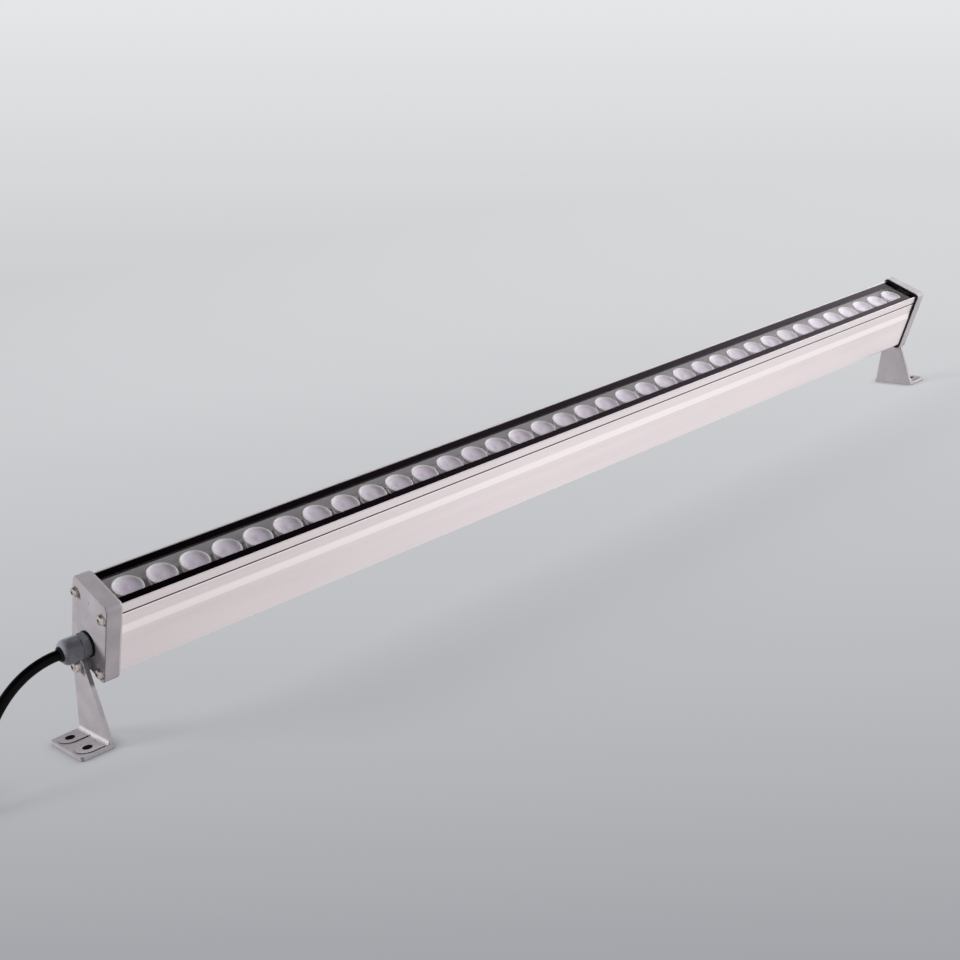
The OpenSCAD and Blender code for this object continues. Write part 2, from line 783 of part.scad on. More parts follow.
module gland_seal() {
    inner_l = gland_nut_l + gland_hex_l;
    lip_l = cable_exit_x - gland_nut_x - gland_stub_l;
    color(black_c) on_gland() difference() {
        turned(cable_exit_x) polygon([
            [0, 0], [(seal_lip_d - seal_lip) / 2, 0], [seal_lip_d / 2, -seal_lip * half],
            [seal_lip_d / 2, -lip_l], [seal_d / 2, -lip_l], [seal_d / 2, -inner_l], [0, -inner_l]
        ]);
        bar_x(cable_exit_x - inner_l - overrun, inner_l + 2 * overrun, gland_bore_d);
    }
}

module gland_locknut() {
    color(gland_c) on_gland() difference() {
        along_x(cap_face - cap_skin_t - locknut_t, locknut_t) hexagon(gland_af * locknut_af_share);
        bar_x(cap_face - cap_skin_t - locknut_t - overrun, locknut_t + 2 * overrun, gland_hole_d);
    }
}

module cable_in_gland() {
    color(black_c) on_gland() bar_x(stub_end_x, cable_exit_x - stub_end_x, cable_d);
}

// Brackets

// Plate seen along X: a round top about the pivot and straight sides down to the foot
module plate_outline() {
    tx = bracket_top_r * side_end_share * sin(side_turn);
    tz = -bracket_top_r * side_end_share * cos(side_turn);
    circle(bracket_top_r);
    polygon([[0, 0], [tx, tz], [foot_w / 2, -pivot_h], [-foot_w / 2, -pivot_h], [-tx, tz]]);
}

// Foot seen from above, in (X, Y), with its outer corners rounded
module foot_outline() {
    translate([plate_x, -foot_w / 2]) square([foot_l - foot_corner_r, foot_w]);
    translate([plate_x, -foot_w / 2 + foot_corner_r]) square([foot_l, foot_w - 2 * foot_corner_r]);
    for (s = [-1, 1]) translate([foot_end_x - foot_corner_r, s * (foot_w / 2 - foot_corner_r)])
        circle(foot_corner_r);
}

module pad_outline(side) {
    translate([hole_x, side * hole_spacing / 2]) circle(pad_r);
    translate([plate_x, side * hole_spacing / 2 - pad_r]) square([hole_x - plate_x, 2 * pad_r]);
}

// Fillet in the inner bend, as wide as the plate is just above the foot
module bend_fillet() {
    root = bracket_t * half;
    w = foot_w - 2 * (bracket_t + bend_r) * tan(side_turn - 90);
    translate([plate_out_x, -w / 2, -pivot_h + bracket_t]) difference() {
        translate([-root, 0, -root]) cube([bend_r + root, w, bend_r + root]);
        translate([bend_r, -overrun, bend_r]) rotate([-90, 0, 0])
            cylinder(r = bend_r, h = w + 2 * overrun);
    }
}

module bracket(side) {
    color(coat_c) in_bracket() at_end(side) difference() {
        union() {
            along_x(plate_x, bracket_t) plate_outline();
            translate([0, 0, -pivot_h]) linear_extrude(bracket_t) foot_outline();
            translate([0, 0, -pivot_h]) linear_extrude(bracket_t + pad_h) for (s = [-1, 1]) pad_outline(s);
            bend_fillet();
            translate([cap_face + turn_gap, 0, 0]) rotate([0, 90, 0])
                cylinder(d = standoff_d, h = standoff_l - turn_gap + bracket_t * half);
        }
        translate([cap_face, 0, 0]) rotate([0, 90, 0])
            cylinder(d = pivot_bore_d, h = standoff_l + bracket_t + overrun);
        for (s = [-1, 1]) translate([hole_x, s * hole_spacing / 2, -pivot_h - overrun])
            cylinder(d = hole_d, h = bracket_t + pad_h + 2 * overrun);
    }
}

module at_pivot(side) {
    in_bracket() at_end(side) children();
}

module pivot_screw(side) {
    color(steel_c) at_pivot(side) translate([pivot_head_x, 0, 0])
        socket_screw(pivot_d, pivot_head_x - cap_face + pivot_grip_l, pivot_head_d, pivot_head_h);
}

module pivot_washer(side) {
    color(steel_c) at_pivot(side) ring_x(washer_x, pivot_washer_t, pivot_washer_d, pivot_bore_d);
}

module spring_washer(side) {
    color(steel_c) at_pivot(side) difference() {
        ring_x(spring_x, spring_washer_t, pivot_head_d, pivot_bore_d);
        translate([spring_x - overrun, 0, -spring_split / 2])
            cube([spring_washer_t + 2 * overrun, pivot_head_d, spring_split]);
    }
}

// Cable

// Direction of the route at point i, from its neighbours; the ends take the given directions
function route_dir(p, i, d0, d1) =
    i == 0 ? d0 : i == len(p) - 1 ? d1 : (p[i + 1] - p[i - 1]) / norm(p[i + 1] - p[i - 1]);

// Ring of points square to direction d, about point p
function ring(p, d, r, sides) =
    let (side = cross(d, [0, 0, 1]) / norm(cross(d, [0, 0, 1])), up = cross(side, d))
    [for (k = [0:sides - 1]) let (a = 360 * (k + half) / sides) p + r * (cos(a) * side + sin(a) * up)];

// Closed tube of triangles along the points p
module tube(p, r, sides, d0, d1) {
    n = len(p);
    rings = [for (i = [0:n - 1]) each ring(p[i], route_dir(p, i, d0, d1), r, sides)];
    walls = [for (i = [0:n - 2], k = [0:sides - 1]) let (
        a = i * sides + k, b = i * sides + (k + 1) % sides, c = a + sides, e = b + sides
    ) each [[a, b, e], [a, e, c]]];
    start = [for (k = [1:sides - 2]) [0, k + 1, k]];
    end = [for (k = [1:sides - 2]) [(n - 1) * sides, (n - 1) * sides + k, (n - 1) * sides + k + 1]];
    polyhedron(rings, concat(start, walls, end));
}

out_dir = [-1, 0, 0];

lead_sides = 10;
coil_sides = 6;
core_sides = 8;

module cable_lead() {
    color(black_c) tube(lead_points, cable_d / 2, lead_sides, out_dir, out_dir);
}

// Place on the coil after t turns: it spirals in on the floor, climbs, and spirals out on top
function coil_radius(t) = coil_out_r - coil_pitch * min(t, coil_turns - t);
function coil_level(t) = let (u = (t - coil_turns / 2 + coil_climb) / (2 * coil_climb)) max(0, min(1, u));
function coil_height(t) = coil_z + coil_pitch * (half - half * cos(180 * coil_level(t)));
function coil_place(t, r_add = 0, z_add = 0) =
    let (a = -90 - 360 * t, r = coil_radius(t) + r_add)
    [coil_x + r * cos(a), coil_y + r * sin(a), coil_height(t) + z_add];

coil_points = concat(
    [lead_end],
    [for (i = [0:coil_turns * coil_rings]) coil_place(i / coil_rings)],
    [coil_place(coil_turns) + cable_d * out_dir]
);

module cable_coil() {
    color(black_c) tube(coil_points, cable_d / 2, coil_sides, out_dir, out_dir);
}

// Least distance between centres of turns that lie beside or on each other, less the diameter
coil_self_gap = min([for (i = [0:len(coil_points) - 1], j = [0:len(coil_points) - 1])
    if (j > i + coil_rings * half) norm(coil_points[i] - coil_points[j])]) - cable_d;
echo(coil_self_gap = coil_self_gap);

// Band round the stack of turns, square to them, half a turn from where the cable comes in
tie_at = 0.5;
tie_gap = 0.35;
tie_head = 5.4;

module cable_tie() {
    inner_w = coil_pitch + cable_d + 2 * tie_gap;
    inner_h = inner_w - tie_gap;
    corner = cable_d / 2;
    a = -90 - 360 * tie_at;
    mid_r = (coil_radius(tie_at) + coil_radius(1 + tie_at)) / 2;
    mid_z = coil_z + coil_pitch / 2;
    color([0.1, 0.1, 0.1]) translate([coil_x, coil_y, mid_z]) rotate([0, 0, a])
        translate([mid_r, tie_w / 2, 0]) rotate([90, 0, 0]) union() {
            linear_extrude(tie_w) difference() {
                rounded_rect(inner_w + 2 * tie_t, inner_h + 2 * tie_t, corner + tie_t);
                rounded_rect(inner_w, inner_h, corner);
            }
            translate([inner_w / 2, -tie_head / 2, (tie_w - tie_head) / 2])
                cube([tie_head * half + tie_t, tie_head, tie_head]);
        }
}

// Stripped cores: they leave the cut jacket and settle along the turn below
core_steps = 8;
core_step_deg = 6;
core_spread = 1.35;
core_rest_gap = 0.3;
core_low_share = 0.58;
core_shares = [[-1, -core_low_share], [1, -core_low_share], [0, 2 * core_low_share]];
core_drop = coil_pitch - core_spread * core_low_share - cable_d / 2 - core_d / 2 - core_rest_gap;
core_end_deg = 360 * cable_d / (2 * PI * coil_out_r);

// Point k of core i: eased down to the turn below, then level
function core_place(i, k) =
    let (u = min(1, k / core_steps * 2), drop = core_drop * (half - half * cos(180 * u)))
    let (a = -90 - core_end_deg - k * core_step_deg, r = coil_out_r + core_shares[i].x * core_spread)
    [coil_x + r * cos(a), coil_y + r * sin(a), coil_z + coil_pitch - drop + core_shares[i].y * core_spread];

function core_points(i) = concat(
    [coil_points[len(coil_points) - 1] + core_spread * [0, -core_shares[i].x, core_shares[i].y]],
    [for (k = [1:core_steps]) core_place(i, k)]
);

module cable_cores() {
    colors = [[0.35, 0.2, 0.1], [0.1, 0.2, 0.5], [0.5, 0.6, 0.1]];
    end_a = -90 - core_end_deg - core_steps * core_step_deg;
    end_dir = [sin(end_a), -cos(end_a), 0];
    for (i = [0:2]) color(colors[i]) tube(core_points(i), core_d / 2, core_sides, out_dir, end_dir);
}

housing_extrusion();
front_glass();
glass_border(-1);  // glass_border_front
glass_border(1);  // glass_border_back
glass_seal(-1);  // glass_seal_front
glass_seal(1);  // glass_seal_back
led_board(-1);  // led_board_left
led_board(1);  // led_board_right
led_chips();
lenses();
lens_holders();
board_screws();
driver();
driver_pads();
supply_wires();
output_wires();
end_cap(-1);  // end_cap_left
end_cap(1);  // end_cap_right
end_gasket(-1);  // end_gasket_left
end_gasket(1);  // end_gasket_right
cap_screws(-1);  // cap_screws_left
cap_screws(1);  // cap_screws_right
cap_screw_washers(-1);  // cap_screw_washers_left
cap_screw_washers(1);  // cap_screw_washers_right
gland_washer();
gland_body();
gland_nut();
gland_seal();
gland_locknut();
cable_in_gland();
bracket(-1);  // bracket_left
bracket(1);  // bracket_right
pivot_screw(-1);  // pivot_screw_left
pivot_screw(1);  // pivot_screw_right
pivot_washer(-1);  // pivot_washer_left
pivot_washer(1);  // pivot_washer_right
spring_washer(-1);  // spring_washer_left
spring_washer(1);  // spring_washer_right
cable_lead();
cable_coil();
cable_tie();
cable_cores();
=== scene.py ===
# %% [markdown]
# # Outdoor wall washer light
# A long aluminium housing holds a row of 36 lenses behind a glass with black borders. A cast cap
# closes each end, and a foot bracket turns about one screw on each cap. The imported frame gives
# every rigid piece its shape and place, so this script only dresses it: finishes, lenses, the
# supply cable, the light and the camera.

# %% Load the frame
import json
import math

import bmesh
import bpy
import numpy as np
from mathutils import Matrix, Vector


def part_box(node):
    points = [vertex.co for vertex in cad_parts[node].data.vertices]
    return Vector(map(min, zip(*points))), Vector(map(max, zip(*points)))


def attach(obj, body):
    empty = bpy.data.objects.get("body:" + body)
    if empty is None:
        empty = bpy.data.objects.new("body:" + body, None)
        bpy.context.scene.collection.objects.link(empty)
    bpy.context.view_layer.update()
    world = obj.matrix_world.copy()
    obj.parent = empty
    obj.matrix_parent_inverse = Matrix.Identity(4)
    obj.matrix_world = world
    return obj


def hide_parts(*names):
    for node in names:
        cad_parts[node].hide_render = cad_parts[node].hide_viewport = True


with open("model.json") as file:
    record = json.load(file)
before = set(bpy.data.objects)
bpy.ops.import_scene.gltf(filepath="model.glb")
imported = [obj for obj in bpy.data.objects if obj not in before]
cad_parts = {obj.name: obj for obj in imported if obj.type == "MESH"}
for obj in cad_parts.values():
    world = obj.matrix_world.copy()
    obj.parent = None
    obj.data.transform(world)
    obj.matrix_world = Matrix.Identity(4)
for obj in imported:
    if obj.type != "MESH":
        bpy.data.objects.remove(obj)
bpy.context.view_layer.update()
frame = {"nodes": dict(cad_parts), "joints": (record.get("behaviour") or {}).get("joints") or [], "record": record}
nodes = frame["nodes"]

# %% [markdown]
# ## Camera
# The photograph looks down along the light from its cable end, with a fairly long lens and the
# camera rolled a little. A place, a target and a roll say this in three short values. The other
# way is a matrix of nine numbers, which nobody can read or adjust by hand.

# %% Place the camera
camera_place = Vector((-0.9159, -0.8983, 0.4520))
camera_target = Vector((-0.0411, 0.1123, 0.0355))
camera_roll = math.radians(-7.16)
camera_lens = 54.75

camera = bpy.data.objects.new("camera", bpy.data.cameras.new("camera"))
bpy.context.scene.collection.objects.link(camera)
look = (camera_target - camera_place).to_track_quat("-Z", "Y")
camera.matrix_world = (
    Matrix.Translation(camera_place) @ look.to_matrix().to_4x4() @ Matrix.Rotation(camera_roll, 4, "Z")
)
camera.data.lens = camera_lens
camera.data.clip_end = 500
bpy.context.scene.camera = camera
bpy.context.scene.view_settings.view_transform = "Standard"
print("camera looks", [round(v, 4) for v in (camera_target - camera_place).normalized()])

# %% [markdown]
# ## Meshes from grids of points
# Every new piece here is a grid of points worked out at once with numpy. Neighbouring points
# become faces, so a cable and a lens differ only in the formula for their points. Building face
# by face in a loop would be slower and would hide the shape's rule.

# %% Helpers for meshes
weld_distance = 1e-7


def grid_mesh(name, grids, sharp_degrees=40):
    """A mesh object of one or more closed grids of points, shaped (grids, rows, columns, 3).

    Point (row, column) joins its neighbours to the right and below into one four-sided face, and
    the last column joins the first. Rows that shrink to one point are welded into a pole. In the
    UV map u runs along the columns and v along the rows, both from 0 to 1.
    """
    count, rows, cols = grids.shape[:3]
    index = np.arange(count * rows * cols).reshape(count, rows, cols)
    right = np.roll(index, -1, axis=2)
    corners = [index[:, :-1], right[:, :-1], right[:, 1:], index[:, 1:]]
    faces = np.stack(corners, axis=-1).reshape(-1, 4)
    mesh = bpy.data.meshes.new(name)
    mesh.from_pydata(grids.reshape(-1, 3).tolist(), [], faces.tolist())
    u = np.broadcast_to(np.arange(cols) / cols, (count, rows - 1, cols))
    v = np.broadcast_to((np.arange(rows - 1) / (rows - 1))[None, :, None], (count, rows - 1, cols))
    du, dv = 1 / cols, 1 / (rows - 1)
    uv = np.stack([u, v, u + du, v, u + du, v + dv, u, v + dv], axis=-1)
    mesh.uv_layers.new(name="UVMap").data.foreach_set("uv", uv.ravel().astype(np.float32))
    shape = bmesh.new()
    shape.from_mesh(mesh)
    bmesh.ops.remove_doubles(shape, verts=shape.verts, dist=weld_distance)
    bmesh.ops.recalc_face_normals(shape, faces=shape.faces)
    shape.to_mesh(mesh)
    shape.free()
    mesh.polygons.foreach_set("use_smooth", np.ones(len(mesh.polygons), dtype=bool))
    mesh.set_sharp_from_angle(angle=math.radians(sharp_degrees))
    made = bpy.data.objects.new(name, mesh)
    bpy.context.scene.collection.objects.link(made)
    print(f"{name}: {len(mesh.vertices)} points, {len(mesh.polygons)} faces")
    return made


def tube_grid(path, radius, sides):
    """Rings round a path: each point plus radius times (cos a * side + sin a * up), ends closed.

    side is square to the path and level, and up is square to both. radius is one number or one
    for each point. The first and last rows shrink to the path's ends.
    """
    ahead = np.gradient(path, axis=0)
    ahead /= np.linalg.norm(ahead, axis=1, keepdims=True)
    side = np.cross(ahead, (0, 0, 1))
    side /= np.linalg.norm(side, axis=1, keepdims=True)
    up = np.cross(side, ahead)
    angle = 2 * np.pi * np.arange(sides) / sides
    reach = np.broadcast_to(radius, len(path))[:, None, None]
    ring = np.cos(angle)[None, :, None] * side[:, None] + np.sin(angle)[None, :, None] * up[:, None]
    rows = path[:, None] + reach * ring
    start, end = (np.broadcast_to(p, (1, sides, 3)) for p in (path[0], path[-1]))
    return np.concatenate([start, rows, end])[None]


def smooth_path(points, steps):
    """Smooth curve through the points: between two of them p(t) is the cubic whose slope at each
    point is half the way from the point before to the point after. steps samples a span."""
    spans = [points[:-3], points[1:-2], points[2:-1], points[3:]]
    a, b, c, d = (s[:, None] for s in spans)
    t = (np.arange(steps) / steps)[None, :, None]
    curve = b + t * (c - a) / 2
    curve = curve + t**2 * (2 * a - 5 * b + 4 * c - d) / 2 + t**3 * (3 * b - a - 3 * c + d) / 2
    return np.concatenate([curve.reshape(-1, 3), points[-2:-1]])


print("helpers ready: grid_mesh, tube_grid, smooth_path")

# %% [markdown]
# ## Supply cable
# The cable is a round rubber lead of 7.8 mm. It leaves the gland almost level, drops to the floor
# in one slow curve, and the rest of its metre is wound into three turns: in on the floor, up one
# layer, and out again on top. Its points are the ones that the construction uses, here in metres,
# so the lead lies where the plain solid lies. The coil is a formula, and only the free stretch is
# a list: along the light, aside of the gland, and above the floor.

# %% Route of the cable
cable_d = 0.0078
in_gland_low, in_gland_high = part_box("cable_in_gland")
gland_y = (in_gland_low.y + in_gland_high.y) / 2
gland_z = (in_gland_low.z + in_gland_high.z) / 2
cable_exit = (in_gland_low.x, gland_y, gland_z)

lead_drop = [
    (-0.5415, 0, 0.0741), (-0.550, 0, 0.0727), (-0.559, 0, 0.0699), (-0.568, 0, 0.0655),
    (-0.5765, -0.0002, 0.0598), (-0.5845, -0.0009, 0.0529), (-0.592, -0.0022, 0.0453),
    (-0.5995, -0.0041, 0.0374), (-0.607, -0.0065, 0.0299), (-0.615, -0.0095, 0.0231),
    (-0.624, -0.0129, 0.0170), (-0.634, -0.0162, 0.0118), (-0.644, -0.0187, 0.0082),
    (-0.653, -0.0198, 0.0061),
]
coil_aside = 0.020
coil_centre_x = -0.670
coil_low = 0.0052
coil_pitch = 0.0084
coil_turns = 3
coil_middle_r = 0.043
coil_outer_r = coil_middle_r + coil_pitch * coil_turns / 4
coil_centre_y = gland_y - coil_aside + coil_outer_r
climb_turns = 0.25
start_angle = -np.pi / 2
rings_a_turn = 60
curve_steps = 4


def coil_place(turn):
    """Place after that many turns: radius = outer - pitch * min(turn, turns - turn), the angle
    falls one full circle a turn, and the height rises one pitch in a cosine step at the middle."""
    radius = coil_outer_r - coil_pitch * np.minimum(turn, coil_turns - turn)
    angle = start_angle - 2 * np.pi * turn
    climbed = np.clip((turn - coil_turns / 2 + climb_turns) / (2 * climb_turns), 0, 1)
    height = coil_low + coil_pitch * (1 - np.cos(np.pi * climbed)) / 2
    x = coil_centre_x + radius * np.cos(angle)
    y = coil_centre_y + radius * np.sin(angle)
    return np.stack(np.broadcast_arrays(x, y, height), axis=-1)


def along_minus_x(point, distance):
    """The point moved towards the cable's free end, along the light."""
    return np.asarray(point, float) - (distance, 0, 0)


lead_end = (coil_centre_x + cable_d, gland_y - coil_aside, coil_low)
lead_points = np.array([cable_exit, *[(x, gland_y + aside, z) for x, aside, z in lead_drop], lead_end])
guides = [along_minus_x(cable_exit, -cable_d), *lead_points, along_minus_x(lead_end, cable_d)]
lead_path = smooth_path(np.array(guides), curve_steps)
coil_path = coil_place(np.arange(coil_turns * rings_a_turn + 1) / rings_a_turn)
jacket_end = along_minus_x(coil_path[-1], cable_d)
cable_path = np.concatenate([lead_path, coil_path, [jacket_end]])

# %% Cable mesh
cable_sides = 24
cable = grid_mesh("supply_cable", tube_grid(cable_path, cable_d / 2, cable_sides))

# %% [markdown]
# ## Stripped cores
# At its far end the jacket is cut back and three insulated cores come out, each with a bare
# copper end, ready for a terminal. They settle on the turn below them. Each is the same tube
# formula along its own path, so brown, blue and green-yellow differ only in where they start.

# %% Cores and their copper ends
core_d = 0.0024
core_spread = 0.00135
core_low_share = 0.58
core_step = math.radians(6)
core_steps = 8
core_rest_gap = 0.0003
core_drop = coil_pitch - core_spread * core_low_share - cable_d / 2 - core_d / 2 - core_rest_gap
jacket_end_angle = start_angle - cable_d / coil_outer_r
core_sides = 16
copper_d = 0.0014
copper_l = 0.007
copper_rows = 8
copper_sides = 12
core_places = {
    "core_brown": (-1, -core_low_share),
    "core_blue": (1, -core_low_share),
    "core_green_yellow": (0, 2 * core_low_share),
}


def core_path(across, above):
    """Points along one core: round the coil's outer circle, easing down to the turn below."""
    step = np.arange(1, core_steps + 1)
    eased = (1 - np.cos(np.pi * np.minimum(1, step / core_steps * 2))) / 2
    angle = jacket_end_angle - step * core_step
    radius = coil_outer_r + across * core_spread
    height = coil_low + coil_pitch - core_drop * eased + above * core_spread
    round_part = np.stack([
        coil_centre_x + radius * np.cos(angle), coil_centre_y + radius * np.sin(angle), height
    ], axis=-1)
    start = jacket_end + core_spread * np.array([0, -across, above])
    before = along_minus_x(start, -core_d)
    after = 2 * round_part[-1] - round_part[-2]
    return smooth_path(np.array([before, start, *round_part, after]), curve_steps)


cores = {}
for name, (across, above) in core_places.items():
    path = core_path(across, above)
    cores[name] = grid_mesh(name, tube_grid(path, core_d / 2, core_sides))
    ahead = (path[-1] - path[-2]) / np.linalg.norm(path[-1] - path[-2])
    reach = np.linspace(-copper_d, copper_l, copper_rows)[:, None]
    strand_path = path[-1] + reach * ahead
    strand = grid_mesh(f"{name}_copper", tube_grid(strand_path, copper_d / 2, copper_sides))
    cores[strand.name] = strand

# %% [markdown]
# ## Lenses
# Each LED sits under a moulded acrylic lens: a cone with a flat rim and a dished top, which
# gathers the light. Seen from above only the rim and the bowl show. The lens is one profile
# turned about its own axis, and 36 copies are made by shifting the same grid along the housing.
# A clear refracting lens would look black in a dark chamber at this size, so the bowl is a pale glossy surface:
# its pale colour is a painted reflection, standing in for the silvered look of the reflecting cone under the real
# dish. Real acrylic lets the light through to the board, and so does this one, because it casts no shadow.

# %% Housing coordinates
lean = math.radians(24)
pivot = np.array(frame["joints"][0]["pos_m"])
top_above_pivot = 0.0608


def in_housing(points):
    """Points with z = 0 at the housing's top edge and y = 0 on its middle plane, put where the
    leaning housing is: raised above the pivot line, then turned about it by the lean."""
    x, y, z = points[..., 0], points[..., 1], points[..., 2] + top_above_pivot
    return np.stack([
        x,
        pivot[1] + y * math.cos(lean) - z * math.sin(lean),
        pivot[2] + y * math.sin(lean) + z * math.cos(lean),
    ], axis=-1)


print(f"lean {math.degrees(lean):.0f} degrees about {pivot.round(4)}")

# %% Lens profile
lens_count = 36
lens_r = 0.0115
rim_z = -0.0046
rim_t = 0.0012
rim_w = 0.0009
rim_round = 0.0003
rim_rows = 5
foot_z = -0.0146
foot_r = 0.0065
recess_r = 0.0028
recess_z = -0.0113
dish_depth = 0.0023
dish_power = 3.4
dish_softness = 0.9
dish_rows = 18
centre_r = 0.0024
centre_rise = 0.0003
lens_sides = 48


def lens_profile():
    """Radius and height from the bottom pole to the top pole: LED recess, cone, rim, dish.

    The dish is z = rim - depth * (1 - s^power)^softness at radius share s, and a low bell rises
    in its middle.
    """
    quarter = np.linspace(0, np.pi / 2, rim_rows)
    under = [(0, recess_z), (recess_r / 2, recess_z), (recess_r, foot_z), (foot_r, foot_z)]
    cone = [(lens_r - rim_t / 2, rim_z - rim_t), (lens_r, rim_z - rim_t)]
    edge = np.stack([
        lens_r - rim_round + rim_round * np.cos(quarter),
        rim_z - rim_round + rim_round * np.sin(quarter),
    ], axis=-1)
    bowl_r = lens_r - rim_round - rim_w
    share = np.sin(np.linspace(np.pi / 2, 0, dish_rows))
    drop = dish_depth * (1 - share**dish_power) ** dish_softness
    bell = centre_rise * np.exp(-((share * bowl_r / centre_r) ** 2))
    dish = np.stack([share * bowl_r, rim_z - drop + bell], axis=-1)
    return np.concatenate([under, cone, edge, dish])


profile = lens_profile()
dish_share = (len(profile) - dish_rows) / (len(profile) - 1)
print(f"lens profile of {len(profile)} points, the dish starts at {dish_share:.3f} of it")

# %% Row of lenses
lens_low, lens_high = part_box("lenses")
lens_x = np.linspace(lens_low.x + lens_r, lens_high.x - lens_r, lens_count)
turn = 2 * np.pi * np.arange(lens_sides) / lens_sides
one_lens = np.stack(np.broadcast_arrays(
    profile[:, :1] * np.cos(turn), profile[:, :1] * np.sin(turn), profile[:, 1:]
), axis=-1)
row = one_lens[None] + np.stack([lens_x, 0 * lens_x, 0 * lens_x], axis=-1)[:, None, None]
lenses = grid_mesh("lens_row", in_housing(row), sharp_degrees=50)
lenses.visible_shadow = False
print(f"lens pitch {lens_x[1] - lens_x[0]:.5f} m")

# %% [markdown]
# ## Finishes
# A finish is a small tree of nodes: coordinates, one or two noises, and what they change. Colour,
# roughness and height follow the same noise where the real surface does, as paint grain does.
# Values that are the same all over are typed on the shader itself.

# %% Helpers for nodes
def new_finish(name):
    """A node material: its tree, its Principled shader and its Object coordinates."""
    made = bpy.data.materials.new(name)
    made.use_nodes = True
    tree = made.node_tree
    where = tree.nodes.new("ShaderNodeTexCoord")
    return made, tree, tree.nodes["Principled BSDF"], where.outputs["Object"]


def add(tree, kind, inputs=(), **settings):
    """One node: settings are its properties, inputs its values or the sockets that feed it."""
    made = tree.nodes.new("ShaderNode" + kind)
    for key, value in settings.items():
        setattr(made, key, value)
    for key, value in dict(inputs).items():
        if isinstance(value, bpy.types.NodeSocket):
            tree.links.new(value, made.inputs[key])
        else:
            made.inputs[key].default_value = value
    return made.outputs[0]


def calc(tree, operation, *values):
    """One Math node on up to three values."""
    return add(tree, "Math", dict(enumerate(values)), operation=operation)


def product(tree, *factors):
    """All factors multiplied, so that masks leave the place where every one of them is 1."""
    made = factors[0]
    for factor in factors[1:]:
        made = calc(tree, "MULTIPLY", made, factor)
    return made


def moved(tree, where, origin):
    """Coordinates measured from another origin."""
    return add(tree, "VectorMath", {0: where, 1: tuple(origin)}, operation="SUBTRACT")


def measure(tree, operation, *vectors):
    """One number from one or two vectors: their LENGTH, DISTANCE or DOT_PRODUCT."""
    made = add(tree, "VectorMath", dict(enumerate(vectors)), operation=operation)
    return made.node.outputs["Value"]


def part_of(tree, vector, axis):
    """The X, Y or Z of a vector."""
    return add(tree, "SeparateXYZ", {"Vector": vector}).node.outputs[axis]


def set_inputs(shader, **values):
    """Types plain numbers on the shader; a word like specular_ior_level names its socket."""
    names = {socket.name.lower().replace(" ", "_"): socket for socket in shader.inputs}
    for key, value in values.items():
        names[key].default_value = value


print("helpers ready: new_finish, add, calc, measure and set_inputs")


# %% Helpers for patterns
def stretched(tree, where, scale):
    """Coordinates multiplied by one number for each axis, so that a pattern gets its direction."""
    return add(tree, "Mapping", {"Vector": where, "Scale": scale})


def noise(tree, where, scale, detail=3.0):
    """A soft random pattern with about scale waves to the metre."""
    return add(tree, "TexNoise", {"Vector": where, "Scale": scale, "Detail": detail})


def spread(tree, value, low, high, start=0.35, end=0.65, **settings):
    """Maps start to end onto low to high. Unless given, they hold the middle of a noise."""
    return add(tree, "MapRange", {"Value": value, 1: start, 2: end, 3: low, 4: high}, **settings)


def ramp(tree, value, stops):
    """A colour for each value: stops are (place, (red, green, blue))."""
    socket = add(tree, "ValToRGB", {"Fac": value})
    band = socket.node.color_ramp
    while len(band.elements) < len(stops):
        band.elements.new(0.5)
    for element, (place, colour) in zip(band.elements, stops):
        element.position = place
        element.color = (*colour, 1)
    return socket


def two_tone(tree, value, first, second):
    """A noise turned into colours between two."""
    return ramp(tree, spread(tree, value, 0, 1), [(0, first), (1, second)])


def mixed(tree, share, first, second):
    """The first colour where share is 0 and the second where it is 1."""
    return add(tree, "Mix", {0: share, 6: first, 7: second}, data_type="RGBA").node.outputs[2]


def relief(tree, height, strength, distance):
    """A normal that follows a height map: distance is the height in metres at full strength."""
    return add(tree, "Bump", {"Height": height, "Strength": strength, "Distance": distance})


def scaled(colour, factor):
    """The colour made lighter or darker, with no channel over 1."""
    return tuple(min(1.0, channel * factor) for channel in colour)


print("helpers ready: noise, spread, ramp, mixed and relief")

# %% [markdown]
# ### Anodised aluminium
# The housing is extruded, so its die leaves fine lines along X, and anodising turns them satin.
# The noise is stretched along X until it becomes lines. The sloped band has a finer blast finish than the faces
# beside it, and it is painted a shade lighter: a painted sheen for the light that its upward slope catches. The
# narrow groove above it is painted dark as shade, and the edge just below the groove carries a painted highlight.
# The inner walls stay raw and dull. Faces that point upwards, as the lips beside the glass do, get a paler matte
# copy of the finish in place of the satin metal: painted light, because as metal they would mirror the dark sky
# overhead. All this depends on the place in the housing, so the coordinates are first turned back by the lean.

# %% Places and colours on the housing
band_top_z = -0.0186
band_foot_z = -0.0260
groove_top_z = -0.0070
groove_foot_z = -0.0087
groove_skin = 0.0007
lip_h = 0.0006
side_face_y = 0.0208
chamber_y = 0.0188
blur = 0.0004
hairline = 1e-5
facing_up = 0.9
face_colours = (0.81, 0.735, 0.755), (0.85, 0.77, 0.79)
# The band's lighter tones are a painted sheen for the light that its upward slope catches.
band_sheen_colours = (0.96, 0.89, 0.885), (1.0, 0.935, 0.93)
# A painted highlight along the edge just below the groove.
edge_highlight_colour = (1.0, 0.97, 0.965, 1)
# The groove's dark colour is painted shade.
groove_shade_colour = (0.07, 0.06, 0.06, 1)
chamber_colour = (0.55, 0.53, 0.545, 1)
# A paler matte copy of the aluminium for faces that point up: painted light.
upward_light_colour = (0.76, 0.72, 0.73, 1)
satin_metal = 0.88
dull_metal = 0.3
print(f"band {band_top_z - band_foot_z:.4f} m high, groove {groove_top_z - groove_foot_z:.4f} m")


# %% Aluminium
def between(tree, value, low, high, edge):
    """1 between two values and 0 outside them, with a short slope at both."""
    above = spread(tree, value, 0, 1, low, low + edge)
    below = spread(tree, value, 1, 0, high - edge, high)
    return product(tree, above, below)


